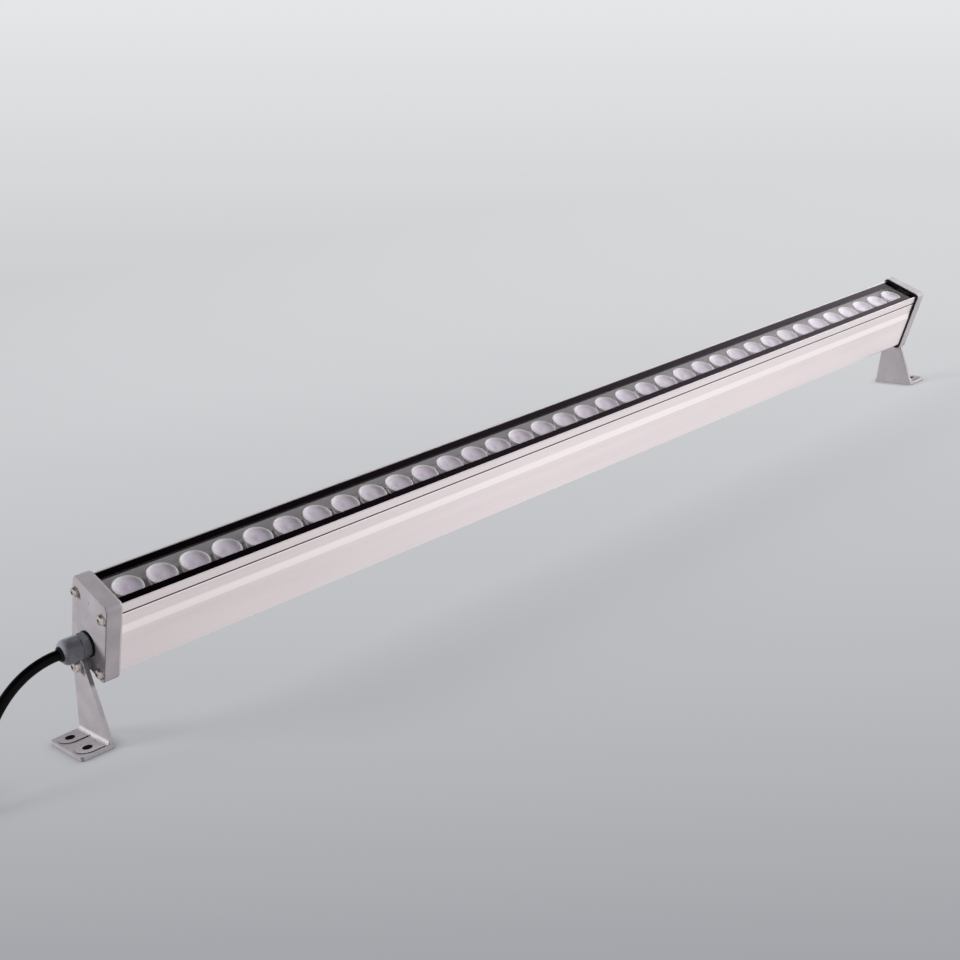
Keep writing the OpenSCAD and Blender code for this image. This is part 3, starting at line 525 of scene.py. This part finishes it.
def anodised_aluminium():
    """Lines along X on the faces, then one mask after another for the band's painted sheen, the painted highlight
    under the groove, the groove's painted shade, the insides and the painted light on upward faces.
    """
    made, tree, shader, where = new_finish("anodised_aluminium")
    upright = add(tree, "Mapping", {
        "Vector": moved(tree, where, pivot),
        "Rotation": (-lean, 0, 0), "Location": (0, 0, -top_above_pivot),
    })
    lines = noise(tree, stretched(tree, upright, (1.5, 900, 900)), 1, 4)
    haze = noise(tree, stretched(tree, upright, (6, 60, 60)), 1, 2)
    height = part_of(tree, upright, "Z")
    sideways = calc(tree, "ABSOLUTE", part_of(tree, upright, "Y"))
    normal = add(tree, "TexCoord").node.outputs["Normal"]
    tilt = measure(tree, "DOT_PRODUCT", normal, (0, -math.sin(lean), math.cos(lean)))

    # Where the band gets its painted sheen.
    band = between(tree, height, band_foot_z, band_top_z, blur)
    # Where the painted highlight under the groove goes.
    edge_highlight = between(tree, height, groove_foot_z - lip_h, groove_foot_z, lip_h / 4)
    behind_face = calc(tree, "LESS_THAN", sideways, side_face_y - groove_skin)
    # Where the groove's painted shade goes.
    groove_shade = product(tree, behind_face, between(tree, height, groove_foot_z, groove_top_z, hairline))
    within = calc(tree, "LESS_THAN", sideways, chamber_y)
    # Faces that point up get the painted light; the insides are raw and dull.
    lit_upward_faces = calc(tree, "GREATER_THAN", tilt, facing_up)

    face, band_sheen_tone = two_tone(tree, haze, *face_colours), two_tone(tree, lines, *band_sheen_colours)
    tone = mixed(tree, band, face, band_sheen_tone)
    tone = mixed(tree, edge_highlight, tone, edge_highlight_colour)
    tone = mixed(tree, groove_shade, tone, groove_shade_colour)
    tone = mixed(tree, within, tone, chamber_colour)
    tone = mixed(tree, lit_upward_faces, tone, upward_light_colour)
    dull_and_upward_light = calc(tree, "MAXIMUM", within, lit_upward_faces)
    tree.links.new(tone, shader.inputs["Base Color"])
    tree.links.new(spread(tree, dull_and_upward_light, satin_metal, dull_metal, 0, 1), shader.inputs["Metallic"])
    tree.links.new(spread(tree, lines, 0.36, 0.48), shader.inputs["Roughness"])
    tree.links.new(relief(tree, lines, 0.5, 1.2e-5), shader.inputs["Normal"])
    return made


finishes = {"anodised_aluminium": anodised_aluminium()}
print("finishes:", *finishes)

# %% [markdown]
# ### Powder coat
# Caps and brackets are cast or pressed aluminium with a fine textured powder coat in a warm grey.
# It shows as a tight orange-peel relief, and here and there a dark speck where a grain of powder was burnt or
# knocked off. On a bracket the bend carries a painted highlight, and the screw holes and the upright edges of the
# pads round them are painted dark as shade.

# %% Painted highlight and shade on the brackets
foot_holes = next(mount for mount in frame["record"]["mounts"] if mount["name"] == "right_foot_holes")
hole_x = foot_holes["pos_m"][0]
hole_y = foot_holes["dims"]["spacing_y_mm"] / 2000
hole_r = foot_holes["dims"]["hole_r_mm"] / 1000
plate_face_x = 0.5185
foot_t = 0.0032
pad_h = 0.0007
bend_r = 0.0026
skin = 0.0001
facing_aside = 0.5
print(f"foot holes at x {hole_x:.4f}, {hole_y:.4f} m to each side, radius {hole_r:.4f}")


def bracket_highlight_and_shade(tree, where):
    """Two masks: the bend for a painted highlight, and the holes with the pads' upright edges for painted shade.
    """
    height = part_of(tree, where, "Z")
    outward = calc(tree, "ABSOLUTE", part_of(tree, where, "X"))
    aside = calc(tree, "ABSOLUTE", calc(tree, "SUBTRACT", part_of(tree, where, "Y"), float(pivot[1])))
    flat = add(tree, "CombineXYZ", {"X": outward, "Y": aside})
    from_hole = measure(tree, "DISTANCE", flat, (hole_x, hole_y, 0))
    in_hole = calc(tree, "LESS_THAN", from_hole, hole_r + skin)
    low = calc(tree, "LESS_THAN", height, foot_t + pad_h + skin)
    normal = add(tree, "TexCoord").node.outputs["Normal"]
    steepness = calc(tree, "ABSOLUTE", part_of(tree, normal, "Z"))
    upright = calc(tree, "LESS_THAN", steepness, facing_aside)
    beyond_bend = calc(tree, "GREATER_THAN", outward, plate_face_x + bend_r)
    above_foot = calc(tree, "GREATER_THAN", height, foot_t + skin / 2)
    # The pads' upright edges and the hole walls get painted shade.
    pad_edge_shade = product(tree, upright, beyond_bend, above_foot, low)
    crevice_shade = calc(tree, "MAXIMUM", product(tree, in_hole, low), pad_edge_shade)
    # The bend's mask, for its painted highlight.
    bend_highlight = product(
        tree,
        between(tree, outward, plate_face_x - skin, plate_face_x + bend_r, 2 * skin),
        between(tree, height, foot_t, foot_t + pad_h + bend_r, 3 * skin),
    )
    return bend_highlight, crevice_shade


# %% Powder coat
coat_colour = (0.365, 0.338, 0.362)
coat_clouds = (0.88, 1.07)
# The pale colour on the bend is a painted highlight.
bend_highlight_colour = (0.55, 0.53, 0.54, 1)
# Near black painted shade for the screw holes and the pads' upright edges.
crevice_shade_colour = (0.012, 0.011, 0.012, 1)
speck_colour = (0.14, 0.13, 0.14, 1)


def powder_coat():
    """Cloudy grey with specks, a painted highlight on the bend and painted shade in the holes and along the pad
    edges, under a fine orange peel.
    """
    made, tree, shader, where = new_finish("grey_coat")
    peel = noise(tree, where, 1400, 2)
    cloud = noise(tree, where, 45, 3)
    speck = noise(tree, where, 330, 1)
    bend_highlight, crevice_shade = bracket_highlight_and_shade(tree, where)
    tone = two_tone(tree, cloud, *(scaled(coat_colour, share) for share in coat_clouds))
    tone = mixed(tree, spread(tree, speck, 0, 1, 0.74, 0.78), tone, speck_colour)
    # Painted highlight along the bend.
    tone = mixed(tree, bend_highlight, tone, bend_highlight_colour)
    # Painted shade in the holes and along the pad edges.
    tone = mixed(tree, crevice_shade, tone, crevice_shade_colour)
    tree.links.new(tone, shader.inputs["Base Color"])
    tree.links.new(spread(tree, peel, 0.5, 0.64), shader.inputs["Roughness"])
    tree.links.new(relief(tree, peel, 0.55, 3e-5), shader.inputs["Normal"])
    set_inputs(shader, specular_ior_level=0.4)
    return made


finishes["grey_coat"] = powder_coat()
print("finishes:", *finishes)

# %% [markdown]
# ### Stainless steel
# Screws and washers are turned from stainless bar. A fine noise breaks up their mirror, so they
# stay bright without flat reflections.

# %% Steel
steel_colours = (0.50, 0.45, 0.43), (0.66, 0.62, 0.60)


def stainless_steel():
    """Bare metal with faint stains, and scratches that the noise draws across X."""
    made, tree, shader, where = new_finish("steel")
    scratch = noise(tree, stretched(tree, where, (3000, 700, 700)), 1, 3)
    stain = noise(tree, where, 260, 2)
    tree.links.new(two_tone(tree, stain, *steel_colours), shader.inputs["Base Color"])
    tree.links.new(spread(tree, scratch, 0.24, 0.36), shader.inputs["Roughness"])
    tree.links.new(relief(tree, scratch, 0.3, 8e-6), shader.inputs["Normal"])
    set_inputs(shader, metallic=1.0)
    return made


finishes["steel"] = stainless_steel()
print("finishes:", *finishes)

# %% [markdown]
# ### Glass and its black border
# The pane is flat, so light goes straight through it and only its gloss shows. A transparent
# shader and a mirror give that without the noise of real refraction, and lamps still light the
# lenses behind it. The mirror's share is small when seen square on and grows with the fifth
# power towards the edge-on view, alike from both sides of the pane. The border is enamel fired
# on the glass: deep black, almost smooth.

# %% Glass
square_on_share = 0.04
edge_power = 5.0
glass_colour = (0.965, 0.965, 0.965, 1)


def clear_glass():
    """Mirror's share = s + (1 - s) * away^5, where s is the share square on; the rest is clear."""
    made, tree, shader, where = new_finish("glass")
    film = noise(tree, where, 30, 2)
    away = add(tree, "LayerWeight", {"Blend": 0.5}).node.outputs["Facing"]
    steep = calc(tree, "POWER", away, edge_power)
    share = calc(tree, "MULTIPLY_ADD", steep, 1 - square_on_share, square_on_share)
    clear = add(tree, "BsdfTransparent", {"Color": glass_colour})
    tree.links.new(spread(tree, film, 0.02, 0.05), shader.inputs["Roughness"])
    set_inputs(shader, base_color=(1, 1, 1, 1), metallic=1.0)
    both = add(tree, "MixShader", {0: share, 1: clear, 2: shader.outputs[0]})
    tree.links.new(both, tree.nodes["Material Output"].inputs["Surface"])
    return made


finishes["glass"] = clear_glass()
print("finishes:", *finishes)

# %% [markdown]
# ### Lens acrylic
# The UV map's v runs from the lens's foot over the rim into the dish, so a ramp along v gives the
# bright rim, the lilac bowl and the pale middle their places. A noise on the object keeps two
# lenses from looking stamped alike. A clear coat adds the gloss, and light that goes a few
# millimetres into the surface makes it look milky instead of painted.

# %% Lens
# The pale lens tones are a painted reflection of the silvered cone in a clear lens.
cone_tones = [(0.0, (0.70, 0.66, 0.72)), (dish_share - 0.12, (0.86, 0.84, 0.87))]
bowl_tones = [
    (0, (1.0, 0.99, 1.0)), (0.14, (1.0, 0.98, 1.0)), (0.30, (0.84, 0.77, 0.87)),
    (0.55, (0.89, 0.81, 0.92)), (0.94, (0.88, 0.80, 0.92)), (1, (1.0, 0.99, 1.0)),
]


def lens_acrylic():
    """Pale glossy plastic whose colour follows v, with light scattered a little way inside."""
    made, tree, shader, where = new_finish("lens")
    v = part_of(tree, add(tree, "TexCoord").node.outputs["UV"], "Y")
    in_dish = [(dish_share + share * (1 - dish_share), tone) for share, tone in bowl_tones]
    wave = noise(tree, where, 90, 2)
    tree.links.new(ramp(tree, v, cone_tones + in_dish), shader.inputs["Base Color"])
    tree.links.new(spread(tree, wave, 0.14, 0.26), shader.inputs["Roughness"])
    tree.links.new(relief(tree, wave, 0.2, 1e-4), shader.inputs["Normal"])
    set_inputs(
        shader, coat_weight=1.0, coat_roughness=0.06,
        subsurface_weight=0.6, subsurface_radius=(1.0, 0.94, 1.0), subsurface_scale=0.003,
    )
    return made


finishes["lens"] = lens_acrylic()
print("finishes:", *finishes)

# %% [markdown]
# ### Rubber, nylon and the smaller pieces
# The rest are plain moulded, painted or plated pieces. They share one recipe and differ in
# colour, in the size of the grain and in gloss. The gasket at the cable end is pinched flat
# between cap and housing, so its edge takes on their grey instead of showing as a black line.

# %% One recipe for grained surfaces
broad_share = 1 / 40
gloss_swing = 0.06


def grained_finish(name, colour, grain, roughness, depth=2e-5, contrast=0.12, **values):
    """Moulded or painted surface: one noise of grain per metre drives tint, roughness and height."""
    made, tree, shader, where = new_finish(name)
    fine = noise(tree, where, grain)
    broad = noise(tree, where, grain * broad_share)
    tone = two_tone(tree, broad, scaled(colour, 1 - contrast), scaled(colour, 1 + contrast))
    rough = spread(tree, fine, roughness - gloss_swing, roughness + gloss_swing)
    tree.links.new(tone, shader.inputs["Base Color"])
    tree.links.new(rough, shader.inputs["Roughness"])
    tree.links.new(relief(tree, fine, 0.6, depth), shader.inputs["Normal"])
    set_inputs(shader, **values)
    return made


print(f"tint waves {1 / broad_share:.0f} times as long as the grain, gloss +-{gloss_swing}")

# %% All other finishes: colour, grain, roughness, depth and contrast
grained = {
    "black_enamel": ((0.0008, 0.0003, 0.0006), 900, 0.14, 3e-6, 0.3),
    "grey_rubber": ((0.05, 0.05, 0.052), 1200, 0.7),
    "board": ((0.52, 0.49, 0.51), 1500, 0.42, 8e-6, 0.1),
    "led_chip": ((0.86, 0.74, 0.36), 2500, 0.25, 5e-6, 0.05),
    "lens_holder": ((0.50, 0.46, 0.49), 1800, 0.45),
    "driver_case": ((0.62, 0.62, 0.63), 700, 0.36, 8e-6, 0.06),
    "supply_wire": ((0.16, 0.07, 0.03), 1600, 0.4),
    "output_wire": ((0.42, 0.03, 0.025), 1600, 0.4),
    "black_rubber": ((0.003, 0.003, 0.003), 1500, 0.6),
    "gland_plastic": ((0.200, 0.204, 0.240), 1100, 0.31, 1.5e-5, 0.08),
    "cable_jacket": ((0.002, 0.002, 0.002), 1300, 0.26, 2e-5, 0.3),
    "tie": ((0.012, 0.012, 0.012), 1500, 0.35, 1e-5, 0.2),
    "pinched_gasket": ((0.50, 0.46, 0.47), 1500, 0.6),
    "core_brown": ((0.17, 0.07, 0.03), 1500, 0.36),
    "core_blue": ((0.03, 0.12, 0.40), 1500, 0.36),
    "core_green_yellow": ((0.30, 0.50, 0.04), 1500, 0.36),
    "copper": ((0.80, 0.36, 0.20), 4000, 0.3, 1e-5, 0.1),
}
shine = {
    "black_enamel": {"specular_ior_level": 0.5, "specular_tint": (1.0, 0.60, 0.92, 1)},
    "driver_case": {"metallic": 0.9},
    "black_rubber": {"specular_ior_level": 0.2},
    "cable_jacket": {"specular_ior_level": 0.06},
    "copper": {"metallic": 1.0},
}
for name, recipe in grained.items():
    finishes[name] = grained_finish(name, *recipe, **shine.get(name, {}))
print("finishes:", *finishes)

# %% Give every carried-over node its finish
slots = {part["node"]: part["material_slot"] for part in frame["record"]["subparts"]}
for name, shape in nodes.items():
    if slots[name] in finishes:
        shape.data.materials.clear()
        shape.data.materials.append(
            finishes["pinched_gasket" if name == "end_gasket_left" else slots[name]]
        )
print("finished nodes", sum(slots[name] in finishes for name in nodes))

# %% [markdown]
# ## Put the new pieces on their bodies
# Each new piece is given the body that carries it, the finish of the slot it stands for and the plain solid it
# takes the place of. The cable is built at its real length, and what is on it goes with it.


# %% Ride, slot and replace
def dress(piece, finish, replaced=()):
    """The piece gets its finish, rides on the housing and takes the place of the replaced nodes."""
    piece.data.materials.append(finish)
    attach(piece, "housing")
    if replaced:
        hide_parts(*replaced)


dress(lenses, finishes["lens"], ["lenses"])
dress(cable, finishes["cable_jacket"], ["cable_lead", "cable_coil"])
for name, piece in cores.items():
    finish = finishes["copper" if name.endswith("copper") else name]
    dress(piece, finish, ["cable_cores"] if name == "core_brown" else [])
print("new pieces on the housing:", 2 + len(cores))

# %% [markdown]
# ## Floor and backdrop
# The floor is a plain pale plane, one huge triangle with no seam across it. For the light that bounces it is
# simply pale. The camera sees it fade from a middle grey close by to a pale grey far off, as a studio sweep does,
# and the metal mirrors bright paper with a painted pool of light on it, brighter towards the far end. The Light
# Path node tells the three apart. A share of the real, lit floor stays in what is seen and keeps the shadow. It
# fades out away from the light, where the lamp would only make a bright patch, and ambient occlusion keeps the
# gaps under the feet dark. One rule gives the fade for the floor and for the sky behind it, so no horizon line
# shows.

# %% Colours of the backdrop
backdrop = [
    (0.0, (0.783, 0.791, 0.807)), (0.25, (0.636, 0.643, 0.660)), (0.5, (0.500, 0.507, 0.526)),
    (0.75, (0.408, 0.414, 0.437)), (1.0, (0.303, 0.308, 0.333)),
]
picture_edge = camera.data.sensor_width / 2 / camera_lens
aside_colour = (0.60, 0.608, 0.625, 1)
aside_start, aside_end = 0.88, 0.3
least_ahead = 0.05


def backdrop_fade(tree, direction):
    """The backdrop's colour in a direction from the first camera's place: the ramp over the rows
    of its picture, where row = below / ahead, and far aside of the picture one pale grey."""
    turned = camera.matrix_world.to_3x3()
    unit = add(tree, "VectorMath", {0: direction}, operation="NORMALIZE")
    below = measure(tree, "DOT_PRODUCT", unit, tuple(turned @ Vector((0, -1, 0))))
    ahead = measure(tree, "DOT_PRODUCT", unit, tuple(turned @ Vector((0, 0, -1))))
    drop = calc(tree, "DIVIDE", below, calc(tree, "MAXIMUM", ahead, least_ahead))
    row = spread(tree, drop, 0, 1, -picture_edge, picture_edge)
    aside = spread(tree, ahead, 0, 1, aside_start, aside_end, interpolation_type="SMOOTHSTEP")
    return mixed(tree, aside, ramp(tree, row, backdrop), aside_colour)


print(f"the picture reaches {picture_edge:.4f} above and below its middle, a metre away")

# %% Floor
floor_reach = 150.0
floor_drop = 0.0002
floor_colour = (0.5, 0.5, 0.5, 1)
shadow_share = 0.10
shadow_near = 0.9
shadow_far = 2.4
gap_reach = 0.012
# Brightness of the mirrored paper along X: a painted pool of light, brightest towards the far end.
paper_light_pool = [(0.0, 0.635), (0.12, 0.71), (0.27, 0.80), (0.44, 0.885), (0.65, 0.93), (0.9, 0.88)]
paper_start, paper_end = -0.5, 0.5
seen_rays = ("Is Camera Ray", "Is Glossy Ray", "Is Transmission Ray")


def ray_kind(tree, name):
    """1 for rays of this kind and 0 for all others."""
    return add(tree, "LightPath").node.outputs[name]


def seen_directly(tree):
    """1 where the camera sees the surface, straight or in a reflection, and 0 for bounced light."""
    straight, mirrored_pool, through = (ray_kind(tree, name) for name in seen_rays)
    return calc(tree, "MAXIMUM", calc(tree, "MAXIMUM", straight, mirrored_pool), through)


def floor_finish():
    """Seen: a lit share that fades out away from the object, plus the fade or the mirrored paper with its painted
    pool of light as a glow. Bounced: one pale grey."""
    made, tree, shader, where = new_finish("floor")
    tree.nodes.remove(shader)
    fade = backdrop_fade(tree, moved(tree, where, camera_place))
    span = spread(tree, part_of(tree, where, "X"), 0, 1, paper_start, paper_end)
    # The mirrored paper with its painted pool of light.
    mirrored_pool = ramp(tree, span, [(place, (light, light, light)) for place, light in paper_light_pool])
    glow = mixed(tree, ray_kind(tree, seen_rays[0]), mirrored_pool, fade)
    gaps = add(tree, "AmbientOcclusion", {"Distance": gap_reach}).node.outputs["AO"]
    shown_glow = add(tree, "Emission", {"Color": glow, "Strength": gaps})
    distance = measure(tree, "LENGTH", where)
    share = spread(tree, distance, shadow_share, 0, shadow_near, shadow_far)
    shown = add(tree, "AddShader", {0: add(tree, "BsdfDiffuse", {"Color": share}), 1: shown_glow})
    plain = add(tree, "BsdfDiffuse", {"Color": floor_colour})
    both = add(tree, "MixShader", {0: seen_directly(tree), 1: plain, 2: shown})
    tree.links.new(both, tree.nodes["Material Output"].inputs["Surface"])
    return made


third = 2 * np.pi / 3 * np.arange(3)
corners = floor_reach * np.stack([np.cos(third), np.sin(third), 0 * third], axis=-1)
floor_mesh = bpy.data.meshes.new("floor")
floor_mesh.from_pydata((corners - (0, 0, floor_drop)).tolist(), [], [(0, 1, 2)])
floor_mesh.materials.append(floor_finish())
floor = bpy.data.objects.new("floor", floor_mesh)
bpy.context.scene.collection.objects.link(floor)
print(f"floor {floor_drop * 1000:.1f} mm under the feet, reaching {floor_reach:.0f} m")

# %% [markdown]
# ## Light
# Soft, plain light: the sky gives an even fill, a large lamp far off to the left lights the end
# cap and puts a soft shadow of the gland on it, one at the right front draws the long side, and
# one above the far end brightens it, as in the photograph. Lamps with a real place fall off
# along the light, which a sun doesn't. The last two light the object alone, which keeps the
# backdrop even, and no lamp shows in a reflection, so the metal mirrors only paper and sky. What
# mirrors the sky low down finds it pale, and overhead it is dark. So the glass and its border
# are black near the camera and turn grey towards the far end.

# %% World
sky_fill = 0.20
sky_colours = [
    (0, (0.780, 0.788, 0.804)), (0.40, (0.790, 0.780, 0.804)), (0.52, (0.88, 0.85, 0.88)),
    (0.60, (0.48, 0.45, 0.48)), (0.68, (0.20, 0.18, 0.20)), (0.77, (0.06, 0.052, 0.06)),
    (0.85, (0.008, 0.008, 0.008)), (1, (0.006, 0.006, 0.006)),
]


def paint_world():
    """The fade for the camera, the sky's ramp for what mirrors it, and an even fill for the rest."""
    world = bpy.data.worlds.new("studio")
    world.use_nodes = True
    tree = world.node_tree
    tree.nodes.clear()
    direction = add(tree, "TexCoord").node.outputs["Generated"]
    height = part_of(tree, direction, "Z")
    fade = backdrop_fade(tree, direction)
    colour = mixed(tree, ray_kind(tree, seen_rays[0]), ramp(tree, height, sky_colours), fade)
    shown = add(tree, "Background", {"Color": colour, "Strength": 1.0})
    fill = add(tree, "Background", {"Color": (1, 1, 1, 1), "Strength": sky_fill})
    both = add(tree, "MixShader", {0: seen_directly(tree), 1: fill, 2: shown})
    output = tree.nodes.new("ShaderNodeOutputWorld")
    tree.links.new(both, output.inputs["Surface"])
    bpy.context.scene.world = world


paint_world()
print("sky fill", sky_fill)


# %% Lamps
def square_lamp(name, place, aim, side, watts):
    """A square area lamp at place that faces aim. It is as soft as its side over its distance."""
    lamp = bpy.data.lights.new(name, "AREA")
    lamp.energy = watts
    lamp.size = side
    made = bpy.data.objects.new(name, lamp)
    made.location = place
    made.rotation_mode = "QUATERNION"
    made.rotation_quaternion = (Vector(aim) - Vector(place)).to_track_quat("-Z", "Y")
    made.visible_glossy = False
    bpy.context.scene.collection.objects.link(made)
    print(f"{name}: {watts} W, {(Vector(aim) - Vector(place)).length:.2f} m away")
    return made


near_end = (-0.5, 0, 0.06)
far_end = (0.5, 0, 0.06)
square_lamp("left_lamp", (-3.9, 3.05, 2.35), near_end, side=2.0, watts=335)
front_lamp = square_lamp("front_lamp", (2.7, -2.2, 0.55), far_end, side=1.4, watts=195)
far_lamp = square_lamp("far_lamp", (1.15, -0.35, 1.05), far_end, side=0.5, watts=9)
lit_alone = bpy.data.collections.new("lit_by_front_lamps")
for piece in (*nodes.values(), cable, lenses, *cores.values()):
    lit_alone.objects.link(piece)
for lamp in (front_lamp, far_lamp):
    lamp.light_linking.receiver_collection = lit_alone
